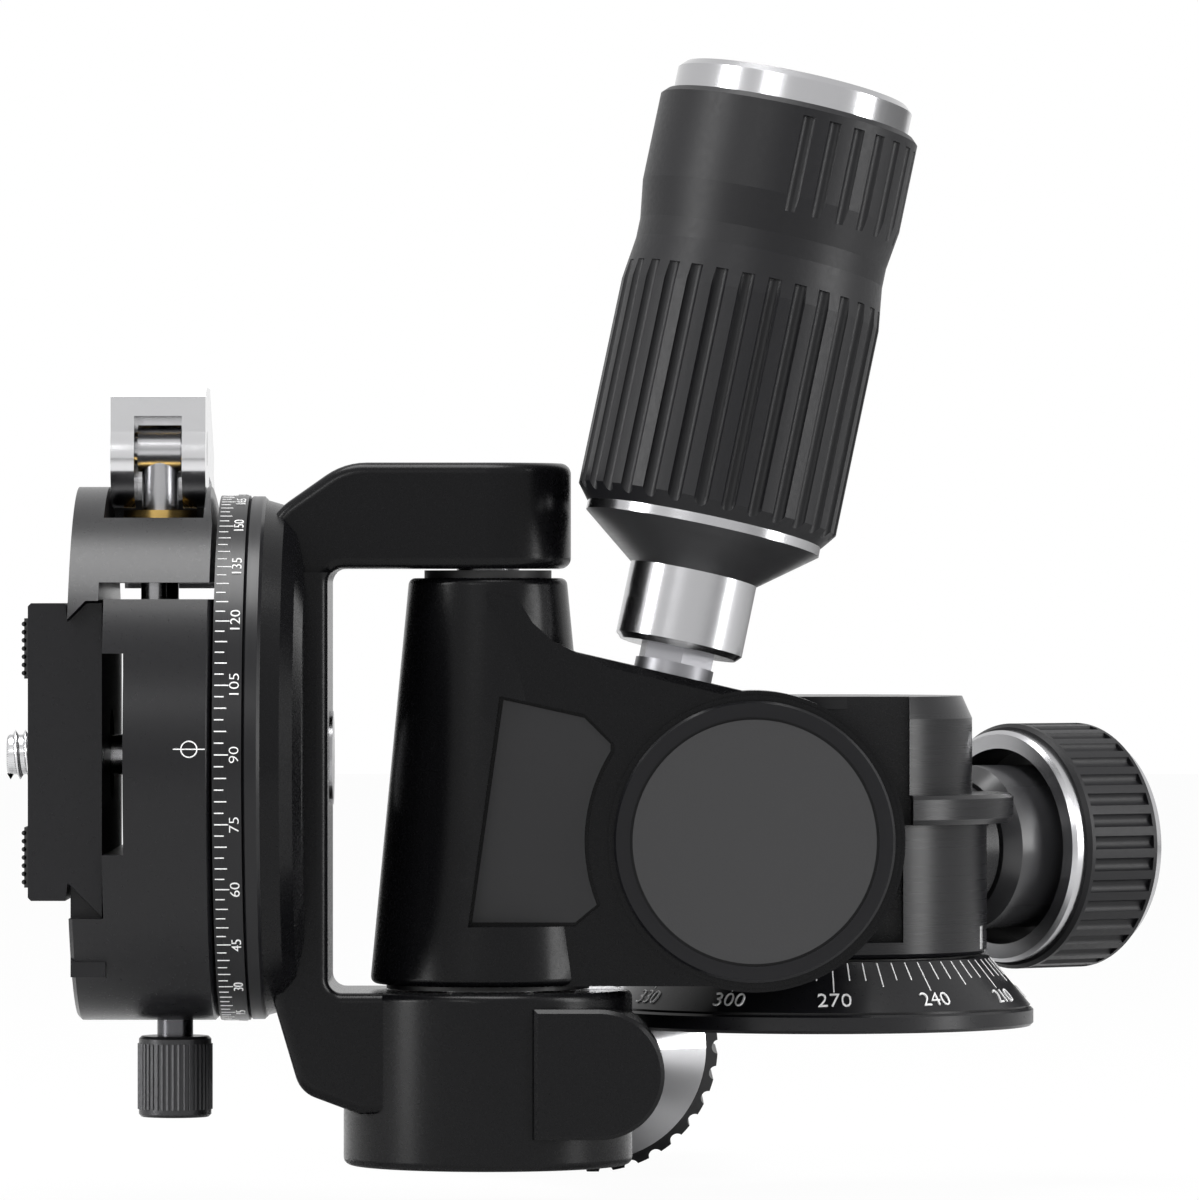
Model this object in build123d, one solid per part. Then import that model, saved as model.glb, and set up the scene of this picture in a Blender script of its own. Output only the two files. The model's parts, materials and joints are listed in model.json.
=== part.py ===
from build123d import *
import math
import os

# Four-way tripod head, shown tipped into the upright-picture position, with the clamp at the left.
# Millimetres, +Z up, +X right, +Y away from the viewer.
# The origin is the centre of the tripod socket, in the underside of the base.

# Clearances
TURN_GAP = 0.05      # radial, shaft in its hole
FACE_GAP = 0.2       # between faces that slide on each other
FREE_GAP = 0.4       # between pieces that only pass each other

# Where the axes lie
TILT_X = -8.8        # fore-and-aft tilt axis, along Y
TILT_Z = 24.8
SIDE_X = -42.8       # side tilt axis, along Z
SIDE_Y = -24.0
CLAMP_Z = 35.3       # axis that the clamp turns on, along X

# Base
BASE_R = 28.2
BASE_RIM_H = 2.4
CONE_TOP_R = 22.4
BASE_H = 9.0
SOCKET_R = 3.97      # 3/8"-16 thread, minor radius
SOCKET_DEPTH = 10.5
INSERT_R = 6.0
SPINDLE_R = 8.0
SPINDLE_FOOT_R = 12.5
SPINDLE_FOOT_H = 2.5
SPINDLE_NUT_R = 9.0
SPINDLE_STUD_R = 5.0
SPINDLE_TOP_Z = 39.0
GLIDE_IN_R = 15.0
GLIDE_OUT_R = 20.0
GLIDE_SEAT = 0.4
BASE_SCREW_PCR = 9.6
BASE_SCREW_R = 1.25

# Pan body
PAN_R = 22.1
FLANGE_R = 25.6
FLANGE_Z = 26.5
FLANGE_H = 3.8
PAN_TOP_R = 20.2
SHOULDER_Z = 40.1
PAN_TOP_Z = 43.0
POCKET_Y = -12.5     # flat that the trunnion stands on
POCKET_FLOOR_H = 2.0
POCKET_LOW_X = 10.6
POCKET_TOP_X = 11.5
TOP_CORNER_R = 20.2  # relief about the tilt axis
WASHER_Z = 33.0      # seat of the spindle washer
NUT_RECESS_R = 10.6
COVER_R = 13.0
COVER_T = 1.6

# Trunnion and tilt arm
TRUNNION_R = 11.0
TRUNNION_ROOT_R = 13.1
ARM_BACK_Y = -22.4
ARM_FRONT_Y = -34.5
HUB_R = 19.2
HUB_BACK_R = 15.3
HUB_STEP_Y = -25.2
HUB_STEP_R = 18.6
HUB_STEP_H = 0.6
CAP_R = 17.9
CAP_T = 1.2
CAP_DISC_R = 15.85
CAP_SPIGOT_R = 14.0
BARREL_TOP_R = 10.1
BARREL_LOW_R = 15.1
BARREL_TOP_Z = 58.3
BARREL_LOW_Z = 6.4
ARM_SLOPE = 13.1     # degrees, top edge of the arm
ARM_TOP_REACH = 18.3 # from the tilt axis to the top edge
PLATE_RECESS = 0.8
NAMEPLATE_EDGE = 0.5
NAMEPLATE_T = 0.5

# Side tilt pin
DRUM_R = 9.0
DRUM_LOW_Z = -14.0
PIN_R = 5.0
PIN_TOP_R = 4.0
PIN_TOP_Z = 71.0
WASHER_T = 1.0
LOW_WASHER_T = 0.6
LOW_WASHER_R = 13.0
TOP_WASHER_R = 8.15

# Yoke
YOKE_TOP_Z = 73.0
YOKE_GAP_TOP_Z = 59.5
YOKE_GAP_LOW_Z = 5.6
YOKE_LOW_Z = -16.8
YOKE_HALF = 10.65
WEB_HALF = 13.0
YOKE_BACK_X = -70.95
YOKE_EDGE_R = 1.4
YOKE_WINDOW_X = -63.0
LOW_BARREL_R = 18.5
BOSS_R = 8.25
BOSS_X = -28.5
BOSS_Z = -4.5
BOSS_FRONT_Y = -42.3
BOSS_BACK_Y = -21.5
BOSS_WALL = 3.0
BOSS_TRIM_Y = -30.0
BOSS_TRIM_R = 20.5
SLEEVE_R = 4.0
SLEEVE_FRONT_Y = -12.0
SLEEVE_BACK_Y = 13.4
SIDE_LOCK_X = -29.4
SIDE_LOCK_Z = -4.6
SLIT_W = 1.2

# Turning clamp
RING_R = 33.6
RING_LEFT_X = -76.85
RING_RIGHT_X = -73.2
DISC_R = 33.5
CLAMP_RIGHT_X = -77.15
CLAMP_FACE_X = -90.7
CLAMP_LEFT_X = -95.1
CLAMP_TOP_Z = 55.6
JAW_LOW_Z = 57.7
JAW_TOP_Z = 70.0
JAW_NOTCH_Z = 65.9
JAW_TOP_REACH = 34.7
NOTCH_LEFT_X = -91.2
NOTCH_RIGHT_X = -78.6
NOTCH_BACK = 10.5
AXLE_R = 8.0
AXLE_END_X = -86.6
AXLE_TAIL_R = 6.0
RETAINER_R = 10.5
RETAINER_T = 1.0
CHANNEL_DEPTH = 2.7
CHANNEL_LOW_Z = 23.6
CHANNEL_TOP_Z = 48.8
CHANNEL_BACK_Y = -2.0
DRAWBAR_X = -84.8
DRAWBAR_R = 2.35
PIVOT_Z = 74.9
PIVOT_R = 2.1
GUIDE_R = 1.6
GUIDE_Y = 18.0
SADDLE_R = 4.7
SADDLE_T = 1.1

# Lever
LEVER_LEFT_X = -90.9
LEVER_RIGHT_X = -78.8
CHEEK_W = 3.0
CAM_R = 6.4
CAM_OFFSET = 1.2
LEVER_T = 4.2
LEVER_END = 0.7      # slope of the end face, seen from the clamp axis

# Thumbscrew
THUMB_X = -82.9
THUMB_R = 4.65
THUMB_LOW_Z = -10.7
THUMB_TOP_Z = -0.35
THUMB_STUD_R = 2.3
THUMB_STUD_TOP_Z = 12.0

# Quick-release plate
PLATE_FACE_X = -100.3
PLATE_BACK_X = -91.0
PLATE_TOP_Z = 55.1
PLATE_LOW_Z = 17.7
PLATE_LENGTH = 50.0
FLANK_X = -95.3
PLATE_LIP_Z = 15.7
STRIP_T = 0.6
STRIP_W = 7.6
STRIP_LENGTH = 45.0
SCREW_R = 3.1        # 1/4"-20 thread, crest radius
SCREW_TIP_X = -104.4
SCREW_RELIEF = 0.2
SCREW_Z = 35.7
SCREW_HEAD_R = 5.6
SCREW_HEAD_T = 1.9
SCREW_KNURL_R = 2.6
SCREW_KNURL_END_X = -89.0

# Long lock handles, along their own axis from the collar's end face
COLLAR_R = 8.2
COLLAR_L = 9.9
CONE_L = 5.4
BAND_R = 15.2
BAND_L = 1.2
GRIP_R = 16.8
GRIP_WAIST_R = 16.1
GRIP_L = 53.8
GRIP_CHAMFER_L = 1.9
GRIP_BORE_R = 12.0
GROOVES = 30
GROOVE_R = 0.95
LONG_GROOVE_L = 32.0
WAIST_AT = 35.8
PILL_START = 39.7
PILL_L = 12.4
PILL_BLANKS = 10
HANDLE_CAP_R = 15.3
HANDLE_CAP_L = 3.9
NECK_L = 4.0
NECK_R = 5.06
STUD_R = 3.0
TILT_LOCK_LEAN = 11.9   # degrees to the right of upright
TILT_LOCK_BACK = 4.0    # degrees away from the viewer
TILT_LOCK_REACH = 14.5  # from the tilt axis
TILT_LOCK_ALONG = 21.8  # from the foot point to the collar's end face
TILT_STUD_L = 28.0
TILT_LOCK_Y = -27.6     # at the collar's end face
SIDE_STUD_L = 56.0

# Short pan lock knob
PAN_LOCK_TURN = 38.2    # degrees from +X towards +Y
PAN_LOCK_Z = 22.8
PAN_KNOB_AT = 31.2      # ring face, from the pan axis
KNOB_HUB_R = 10.8
KNOB_HUB_L = 6.9
KNOB_RECESS_R = 13.0
KNOB_RECESS_L = 6.0
KNOB_RING_R = 15.4
KNOB_RING_L = 1.8
KNOB_CORE_R = 14.4
KNOB_GRIP_R = 16.3
KNOB_GRIP_L = 12.3
KNOB_GROOVES = 35
KNOB_PILL_L = 10.2
KNOB_CAP_R = 15.4
KNOB_CAP_L = 1.4
PAN_BOSS_R = 8.6
SHOE_R = 2.9
SHOE_L = 3.2


def rod(axis, radius, start, end, at=(0, 0, 0)):
    """A cylinder along X, Y or Z from start to end, its axis through the point at."""
    blank = Cylinder(radius, end - start, align=(Align.CENTER, Align.CENTER, Align.MIN))
    if axis == "X":
        return Pos(start, at[1], at[2]) * Rot(0, 90, 0) * blank
    if axis == "Y":
        return Pos(at[0], start, at[2]) * Rot(-90, 0, 0) * blank
    return Pos(at[0], at[1], start) * blank


def block(low, high):
    """A box between two corners."""
    size = [b - a for a, b in zip(low, high)]
    return Pos(*low) * Box(*size, align=(Align.MIN, Align.MIN, Align.MIN))


def turned(points):
    """A lathe-turned solid about Z from (radius, height) points."""
    return revolve(make_face(Plane.XZ * Polyline(*points, close=True)), Axis.Z)


def slab_xz(points, y_from, y_to):
    """A plate outlined in X and Z, as thick as from y_from to y_to."""
    face = make_face(Plane.XZ.offset(-y_from) * Polyline(*points, close=True))
    return extrude(face, amount=y_to - y_from, dir=(0, 1, 0))


def slab_yz(points, x_from, x_to):
    """A plate outlined in Y and Z, as thick as from x_from to x_to."""
    face = make_face(Plane.YZ.offset(x_from) * Polyline(*points, close=True))
    return extrude(face, amount=x_to - x_from, dir=(1, 0, 0))


TILT = (TILT_X, 0, TILT_Z)
SIDE = (SIDE_X, SIDE_Y, 0)
SIDE_LOCK = (SIDE_LOCK_X, 0, SIDE_LOCK_Z)
CLAMP = (0, SIDE_Y, CLAMP_Z)
PAN_LOCK = Pos(0, 0, PAN_LOCK_Z) * Rot(0, 0, PAN_LOCK_TURN) * Rot(0, 90, 0)
parts = {}


def build_base():
    """Base disc with its scale cone, the threaded insert and the spindle it turns on."""
    foot_z = BASE_H - SPINDLE_FOOT_H
    insert_top = SOCKET_DEPTH + 1.0
    disc = turned([
        (INSERT_R, 0), (BASE_R - 0.4, 0), (BASE_R, 0.4), (BASE_R, BASE_RIM_H - 0.3),
        (BASE_R - 0.3, BASE_RIM_H), (BASE_R - 0.9, BASE_RIM_H), (BASE_R - 0.9, BASE_RIM_H + 0.3),
        (BASE_R - 0.4, BASE_RIM_H + 0.3), (CONE_TOP_R, BASE_H), (GLIDE_OUT_R, BASE_H),
        (GLIDE_OUT_R, BASE_H - GLIDE_SEAT), (GLIDE_IN_R, BASE_H - GLIDE_SEAT), (GLIDE_IN_R, BASE_H),
        (SPINDLE_FOOT_R, BASE_H), (SPINDLE_FOOT_R, foot_z), (INSERT_R, foot_z)])
    spindle = turned([
        (INSERT_R, foot_z), (SPINDLE_FOOT_R, foot_z), (SPINDLE_FOOT_R, BASE_H), (SPINDLE_R, BASE_H),
        (SPINDLE_R, WASHER_Z), (SPINDLE_STUD_R, WASHER_Z), (SPINDLE_STUD_R, SPINDLE_TOP_Z), (0, SPINDLE_TOP_Z),
        (0, insert_top), (INSERT_R, insert_top)])
    screws = []
    for turn in (90, 210, 330):
        place = Rot(0, 0, turn) * Pos(BASE_SCREW_PCR, 0, 0)
        shank = place * rod("Z", BASE_SCREW_R, 0.6, BASE_H - 0.3)
        head = place * Cone(2.5, BASE_SCREW_R, 1.4, align=(Align.CENTER, Align.CENTER, Align.MIN))
        screw = head + shank
        disc -= screw
        spindle -= screw
        screws.append(screw - place * rod("Z", 1.0, -0.1, 0.8))
    parts["base_plate"] = disc
    parts["spindle"] = spindle
    parts["base_screws"] = Compound(children=screws)
    glide = rod("Z", GLIDE_OUT_R, BASE_H - GLIDE_SEAT, BASE_H + FACE_GAP)
    parts["glide_ring"] = glide - rod("Z", GLIDE_IN_R, 0, 20)
    insert = rod("Z", INSERT_R, 0, insert_top) - rod("Z", SOCKET_R, -1, SOCKET_DEPTH)
    parts["tripod_insert"] = insert
    parts["spindle_washer"] = rod("Z", SPINDLE_NUT_R + 1, WASHER_Z, WASHER_Z + 1.2) - rod("Z", SPINDLE_STUD_R, 0, 50)
    nut = Pos(0, 0, WASHER_Z + 1.2) * extrude(RegularPolygon(SPINDLE_NUT_R, 6), amount=4)
    parts["spindle_nut"] = nut - rod("Z", SPINDLE_STUD_R, 0, 50)


def build_pan_body():
    """Turned pan body, cut away at the front left so that the arm's hub can lie in it."""
    low = BASE_H + TURN_GAP + 0.35
    flange_top = FLANGE_Z + FLANGE_H
    body = turned([
        (0, low), (PAN_R - 0.5, low), (PAN_R, low + 0.5), (PAN_R, FLANGE_Z), (FLANGE_R - 0.7, FLANGE_Z),
        (FLANGE_R, FLANGE_Z + 0.7), (FLANGE_R, flange_top - 0.5), (FLANGE_R - 0.5, flange_top),
        (PAN_TOP_R, flange_top), (PAN_TOP_R, SHOULDER_Z), (PAN_TOP_R - 1.3, PAN_TOP_Z), (0, PAN_TOP_Z)])
    boss_end = PAN_KNOB_AT - KNOB_HUB_L - FREE_GAP
    body += PAN_LOCK * rod("Z", PAN_BOSS_R, SPINDLE_R + 4, boss_end)
    body -= PAN_LOCK * rod("Z", KNOB_HUB_R + FREE_GAP, boss_end, PAN_KNOB_AT)
    far = 40
    body -= block((-far, -far, low + POCKET_FLOOR_H), (POCKET_LOW_X, POCKET_Y, FLANGE_Z))
    body -= block((-far, -far, FLANGE_Z), (POCKET_TOP_X + 0.3, POCKET_Y, flange_top))
    body -= block((-far, -far, flange_top), (POCKET_TOP_X, POCKET_Y, far + 10))
    corner = block((-far, -far, TILT_Z), (TILT_X, far, far + 10))
    body -= corner - rod("Y", TOP_CORNER_R, -far, far, TILT)
    body += rod("Y", TRUNNION_ROOT_R, ARM_BACK_Y + FACE_GAP, POCKET_Y + 1, TILT)
    journal_end = ARM_FRONT_Y + 2.4
    body += rod("Y", TRUNNION_R, journal_end, ARM_BACK_Y + 1, TILT)
    body -= rod("Y", 2.1, journal_end - 1, journal_end + 9, TILT)
    body -= rod("Z", SPINDLE_R + TURN_GAP, 0, WASHER_Z)
    body -= rod("Z", NUT_RECESS_R, WASHER_Z - FACE_GAP, far + 10)
    body -= rod("Z", COVER_R, PAN_TOP_Z - COVER_T, far + 10)
    body -= PAN_LOCK * rod("Z", STUD_R + TURN_GAP, 0, far)
    parts["pan_body"] = body
    parts["pan_cover"] = rod("Z", COVER_R, PAN_TOP_Z - COVER_T, PAN_TOP_Z)
    parts["pan_brake_shoe"] = PAN_LOCK * rod("Z", SHOE_R, SPINDLE_R + 0.3, SPINDLE_R + 0.3 + SHOE_L)
    retainer = rod("Y", TRUNNION_R + 1.6, journal_end - 1.2, journal_end, TILT)
    parts["trunnion_retainer"] = retainer - rod("Y", 2.0, -far, 0, TILT)
    screw = rod("Y", 3.6, journal_end - 1.5, journal_end - 1.2, TILT) + rod("Y", 2.0, journal_end - 1.2,
                                                                      journal_end + 8, TILT)
    parts["retainer_screw"] = screw


def arm_outline():
    """Front outline of the arm's web: from the barrel to the hub, with the sloping top edge."""
    slope = math.radians(ARM_SLOPE)
    touch = (TILT_X + ARM_TOP_REACH * math.sin(slope), TILT_Z + ARM_TOP_REACH * math.cos(slope))
    run = touch[0] + 31.5
    corner = (touch[0] - run, touch[1] + run * math.tan(slope))
    return [
        (SIDE_X, BARREL_LOW_Z), (TILT_X, BARREL_LOW_Z), TILT[::2], touch, corner, (-34.5, 50.3), (-37.0, 52.6),
        (-38.8, 55.6), (SIDE_X, 56.6)]


def build_arm():
    """Cast tilt arm: tapered barrel for the side tilt pin, thick web and clamping hub."""
    height = BARREL_TOP_Z - BARREL_LOW_Z
    barrel = Cone(BARREL_LOW_R, BARREL_TOP_R, height, align=(Align.CENTER, Align.CENTER, Align.MIN))
    barrel = fillet(barrel.edges().filter_by(GeomType.CIRCLE), 0.9)
    barrel = Pos(SIDE_X, SIDE_Y, BARREL_LOW_Z) * barrel
    web = slab_xz(arm_outline(), ARM_FRONT_Y, ARM_BACK_Y)
    top_edges = web.edges().filter_by(lambda e: -34 < e.center().X < -8 and e.center().Z > TILT_Z + 5)
    web = chamfer(top_edges.sort_by(Axis.Y)[0], 1.0)
    arm = barrel + web
    arm += rod("Y", HUB_R, ARM_FRONT_Y, HUB_STEP_Y, TILT)
    arm += rod("Y", HUB_BACK_R, HUB_STEP_Y, ARM_BACK_Y, TILT)
    arm += rod("Y", HUB_STEP_R, ARM_FRONT_Y - HUB_STEP_H, ARM_FRONT_Y, TILT)
    cone_low = BASE_RIM_H + 0.3
    clear = Cone(BASE_R, CONE_TOP_R + FREE_GAP, BASE_H + FREE_GAP - cone_low,
                 align=(Align.CENTER, Align.CENTER, Align.MIN))
    arm -= Pos(0, 0, cone_low) * clear
    arm -= rod("Y", TRUNNION_R + TURN_GAP, -60, 0, TILT)
    arm -= rod("Y", CAP_SPIGOT_R, -60, ARM_FRONT_Y + 2.6, TILT)
    floor_y = ARM_FRONT_Y + PLATE_RECESS
    arm -= nameplate(0, -50, floor_y)
    parts["nameplate"] = nameplate(NAMEPLATE_EDGE, floor_y - NAMEPLATE_T, floor_y)
    lock = tilt_lock_place()
    arm -= lock * rod("Z", STUD_R + TURN_GAP, -TILT_STUD_L - 1, 30)
    arm -= lock * rod("Z", NECK_R + FREE_GAP, -NECK_L, 30)
    slit = Rot(0, TILT_LOCK_LEAN, 0) * block((-HUB_STEP_R, ARM_FRONT_Y + 2.5, -SLIT_W / 2),
                                            (-TRUNNION_R + 1, -5, SLIT_W / 2))
    arm -= Pos(*TILT) * slit
    arm -= rod("Z", PIN_R, 0, 70, SIDE)
    parts["tilt_arm"] = arm
    cap_front = ARM_FRONT_Y - HUB_STEP_H - CAP_T
    cap = rod("Y", CAP_R, cap_front, ARM_FRONT_Y - HUB_STEP_H, TILT)
    cap = chamfer(cap.edges().sort_by(Axis.Y)[0], 0.3)
    cap += rod("Y", CAP_SPIGOT_R, ARM_FRONT_Y - HUB_STEP_H, ARM_FRONT_Y - HUB_STEP_H + 1.2, TILT)
    seat = rod("Y", CAP_DISC_R, cap_front - 1, cap_front + 0.6, TILT)
    parts["hub_cap"] = cap - seat
    disc = rod("Y", CAP_DISC_R - 0.35, cap_front + 0.05, cap_front + 0.6, TILT)
    parts["hub_cap_disc"] = disc


def nameplate(margin, from_y, to_y):
    """Flat outline of the nameplate, hollowed round the hub on its right, drawn in by a margin."""
    outline = [
        (-45.2 + margin, 14.0 + margin), (-31.6, 14.0 + margin), (-26.6 - margin, 18.2), (-26.6 - margin, 37.2),
        (-30.4, 41.0 - margin), (-41.2 + margin, 43.3 - margin)]
    plate = slab_xz(outline, from_y, to_y)
    return plate - rod("Y", HUB_R + 1.9 + margin, from_y - 1, to_y + 1, TILT)


def tilt_lock_place():
    """Location of the tilt lock: origin at the collar's end face, +Z out along the handle."""
    lean = math.radians(TILT_LOCK_LEAN)
    foot_x = TILT_X - TILT_LOCK_REACH * math.cos(lean)
    foot_z = TILT_Z + TILT_LOCK_REACH * math.sin(lean)
    x = foot_x + TILT_LOCK_ALONG * math.sin(lean)
    z = foot_z + TILT_LOCK_ALONG * math.cos(lean)
    return Pos(x, TILT_LOCK_Y, z) * Rot(0, TILT_LOCK_LEAN, 0) * Rot(-TILT_LOCK_BACK, 0, 0)


def side_lock_place():
    """Location of the side lock: its neck runs against the sleeve, +Z is away from the viewer."""
    return Pos(SIDE_LOCK_X, SLEEVE_BACK_Y + FACE_GAP + NECK_L, SIDE_LOCK_Z) * Rot(-90, 0, 0)


def build_side_pin():
    """Pin that the yoke swings on, fixed in the arm, with its clamping drum and two washers."""
    pin = rod("Z", DRUM_R, DRUM_LOW_Z, BARREL_LOW_Z, SIDE)
    pin += rod("Z", PIN_R, BARREL_LOW_Z, BARREL_TOP_Z, SIDE)
    pin += rod("Z", PIN_TOP_R, BARREL_TOP_Z, PIN_TOP_Z, SIDE)
    parts["side_tilt_pin"] = pin
    low = rod("Z", LOW_WASHER_R, BARREL_LOW_Z - LOW_WASHER_T, BARREL_LOW_Z, SIDE)
    parts["lower_washer"] = low - rod("Z", DRUM_R, -20, 20, SIDE)
    top = rod("Z", TOP_WASHER_R, BARREL_TOP_Z, BARREL_TOP_Z + WASHER_T, SIDE)
    parts["upper_washer"] = top - rod("Z", PIN_TOP_R, 50, 80, SIDE)


def rounded_casting(face, half):
    """The yoke's outline given its width, with the edges of both sides rounded."""
    casting = extrude(Plane.XZ.offset(half - SIDE_Y) * face, amount=2 * half, dir=(0, 1, 0))
    edges = casting.faces().filter_by(Axis.Y).edges().filter_by(lambda e: e.center().X < SIDE_X - 0.5)
    return fillet(edges, YOKE_EDGE_R)


def build_yoke():
    """C-shaped yoke: upper arm, back web that carries the clamp, and the pinch barrel below."""
    outline = [
        (SIDE_X, YOKE_TOP_Z), (-61.0, YOKE_TOP_Z), (YOKE_BACK_X, 66.0), (YOKE_BACK_X, 8.0), (-66.5, -7.0),
        (-59.0, -9.8), (SIDE_X, -9.8), (SIDE_X, YOKE_GAP_LOW_Z), (YOKE_WINDOW_X, YOKE_GAP_LOW_Z),
        (YOKE_WINDOW_X, YOKE_GAP_TOP_Z), (SIDE_X, YOKE_GAP_TOP_Z)]
    face = make_face(Polyline(*outline, close=True))
    face = fillet([v for v in face.vertices() if v.X < YOKE_WINDOW_X - 5 and v.Y > 50], 7.0)
    face = fillet([v for v in face.vertices() if v.X < YOKE_WINDOW_X - 3 and v.Y < 10], 4.0)
    face = fillet([v for v in face.vertices() if abs(v.X + 61.0) < 1.5 and v.Y > YOKE_TOP_Z - 1], 9.0)
    face = fillet([v for v in face.vertices() if abs(v.X - YOKE_WINDOW_X) < 0.01], 1.8)
    split_z = YOKE_GAP_TOP_Z - 0.5
    yoke = rounded_casting(face, WEB_HALF) & block((-80, -60, -20), (0, 20, split_z))
    yoke += rounded_casting(face, YOKE_HALF) & block((-80, -60, split_z), (0, 20, 80))
    end = rod("Z", YOKE_HALF, YOKE_GAP_TOP_Z, YOKE_TOP_Z, SIDE)
    yoke += fillet(end.edges().filter_by(GeomType.CIRCLE), YOKE_EDGE_R)
    barrel = rod("Z", LOW_BARREL_R, YOKE_LOW_Z, YOKE_GAP_LOW_Z, SIDE)
    yoke += fillet(barrel.edges().filter_by(GeomType.CIRCLE), 1.0)
    flange = Pos(YOKE_BACK_X, SIDE_Y, CLAMP_Z) * Rot(0, 90, 0) * turned([
        (0, 0), (DISC_R - 0.5, 0), (DISC_R - 1.2, 2.4), (DISC_R - 3.0, 4.0), (DISC_R - 7.0, 5.0), (0, 5.0)])
    yoke += flange
    yoke += build_lock_boss()
    yoke -= rod("Z", DRUM_R + TURN_GAP, YOKE_LOW_Z - 1, YOKE_GAP_LOW_Z + 1, SIDE)
    yoke -= rod("Z", PIN_TOP_R + TURN_GAP, YOKE_GAP_TOP_Z - 1, PIN_TOP_Z + 0.5, SIDE)
    yoke -= rod("Y", STUD_R + TURN_GAP, BOSS_FRONT_Y + BOSS_WALL, SIDE_Y + LOW_BARREL_R, SIDE_LOCK)
    yoke -= rod("Y", SLEEVE_R, SLEEVE_FRONT_Y, SLEEVE_BACK_Y, SIDE_LOCK)
    yoke -= block((SIDE_X, SIDE_Y - SLIT_W / 2, YOKE_LOW_Z - 1), (-10, SIDE_Y + SLIT_W / 2, YOKE_GAP_LOW_Z + 1))
    yoke -= rod("X", AXLE_TAIL_R, YOKE_BACK_X - 1, YOKE_WINDOW_X + 1, CLAMP)
    parts["yoke"] = yoke
    sleeve = rod("Y", SLEEVE_R, SLEEVE_FRONT_Y, SLEEVE_BACK_Y, SIDE_LOCK)
    parts["lock_sleeve"] = sleeve - rod("Y", STUD_R + TURN_GAP, -60, 30, SIDE_LOCK)
    parts["yoke_bottom_cover"] = rod("Z", DRUM_R + TURN_GAP, YOKE_LOW_Z, DRUM_LOW_Z - FACE_GAP, SIDE)


def build_lock_boss():
    """Boss that the side lock pulls on, rounded at its back so that it swings clear of the base."""
    boss = rod("Y", BOSS_R, BOSS_FRONT_Y, BOSS_BACK_Y, (BOSS_X, 0, BOSS_Z))
    boss += block((SIDE_X + 6, BOSS_FRONT_Y, BOSS_Z - BOSS_R), (BOSS_X, BOSS_BACK_Y, BOSS_Z + BOSS_R))
    boss = chamfer(boss.faces().sort_by(Axis.Y)[0].edges(), 0.5)
    back = block((-80, BOSS_TRIM_Y, -40), (0, 40, 40)) - rod("Z", BOSS_TRIM_R, -50, 50, SIDE)
    return boss - back


def build_mount():
    """Disc, scale ring and axle on the yoke, which the clamp turns on."""
    disc = rod("X", DISC_R, RING_RIGHT_X, YOKE_BACK_X, CLAMP)
    disc = chamfer(disc.edges().filter_by(GeomType.CIRCLE), 0.4)
    parts["mount_disc"] = disc - rod("X", AXLE_TAIL_R, -80, -60, CLAMP)
    ring = rod("X", RING_R, RING_LEFT_X, RING_RIGHT_X, CLAMP)
    parts["scale_ring"] = ring - rod("X", AXLE_R, -80, -60, CLAMP)
    axle = rod("X", AXLE_R, AXLE_END_X, RING_RIGHT_X, CLAMP)
    axle += rod("X", AXLE_TAIL_R, RING_RIGHT_X, YOKE_WINDOW_X + 0.4, CLAMP)
    axle -= rod("X", 2.0, AXLE_END_X, AXLE_END_X + 8, CLAMP)
    parts["clamp_axle"] = axle
    outer = AXLE_END_X - RETAINER_T
    washer = rod("X", RETAINER_R, outer, AXLE_END_X, CLAMP)
    screw = Pos(outer, SIDE_Y, CLAMP_Z) * Rot(0, 90, 0) * Cone(3.8, 2.8, RETAINER_T,
                                                             align=(Align.CENTER, Align.CENTER, Align.MIN))
    screw += rod("X", 2.0, outer, AXLE_END_X + 8, CLAMP)
    parts["axle_retainer"] = washer - screw
    parts["axle_screw"] = screw - rod("X", 1.2, outer - 1, outer + 0.8, CLAMP)


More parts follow.
